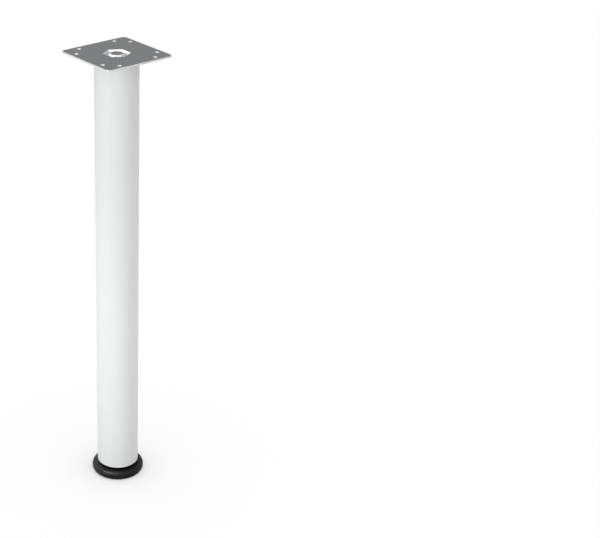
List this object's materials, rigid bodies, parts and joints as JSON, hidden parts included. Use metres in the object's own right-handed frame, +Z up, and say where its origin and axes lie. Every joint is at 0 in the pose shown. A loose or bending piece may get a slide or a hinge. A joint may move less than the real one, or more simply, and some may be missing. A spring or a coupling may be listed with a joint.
{
  "type": "table leg",
  "caption": "Round white tube table leg with a square screw-on top plate, a bolt in a hexagonal pocket, and a wide black screw-adjusted foot.",
  "frame": {"origin": "centre of the foot's base, on the floor", "axes": "+Z up along the tube towards the mounting plate, plate sides along X and Y"},
  "size_m": [0.1114, 0.1114, 0.6833],
  "materials": {
    "zinc_plate": "zinc plated, satin",
    "zinc_steel": "zinc plated, bright",
    "white_coat": "white powder coat, satin",
    "cast_metal": "as cast",
    "insert_plastic": "matt moulded",
    "foot_plastic": "satin moulded"
  },
  "bodies": {
    "leg": {"mounting_plate": "zinc_plate", "centre_bolt": "zinc_steel", "leg_tube": "white_coat", "top_insert": "cast_metal", "bottom_insert": "insert_plastic", "spindle_nut": "zinc_steel"},
    "spindle": {"foot_spindle": "zinc_steel"},
    "foot": {"foot": "foot_plastic"}
  },
  "joints": [
    {"name": "foot_height", "type": "slide", "parent": "leg", "child": "spindle", "axis": [0, 0, -1], "range_m": [0, 0.02]},
    {"name": "foot_turn", "type": "hinge", "parent": "spindle", "child": "foot", "pos_m": [0, 0, 0], "axis": [0, 0, -1], "range_deg": [0, 4800]}
  ],
  "couplings": [
    {"joint": "foot_height", "follows": "foot_turn", "m_per_rad": 0.00023873}
  ]
}
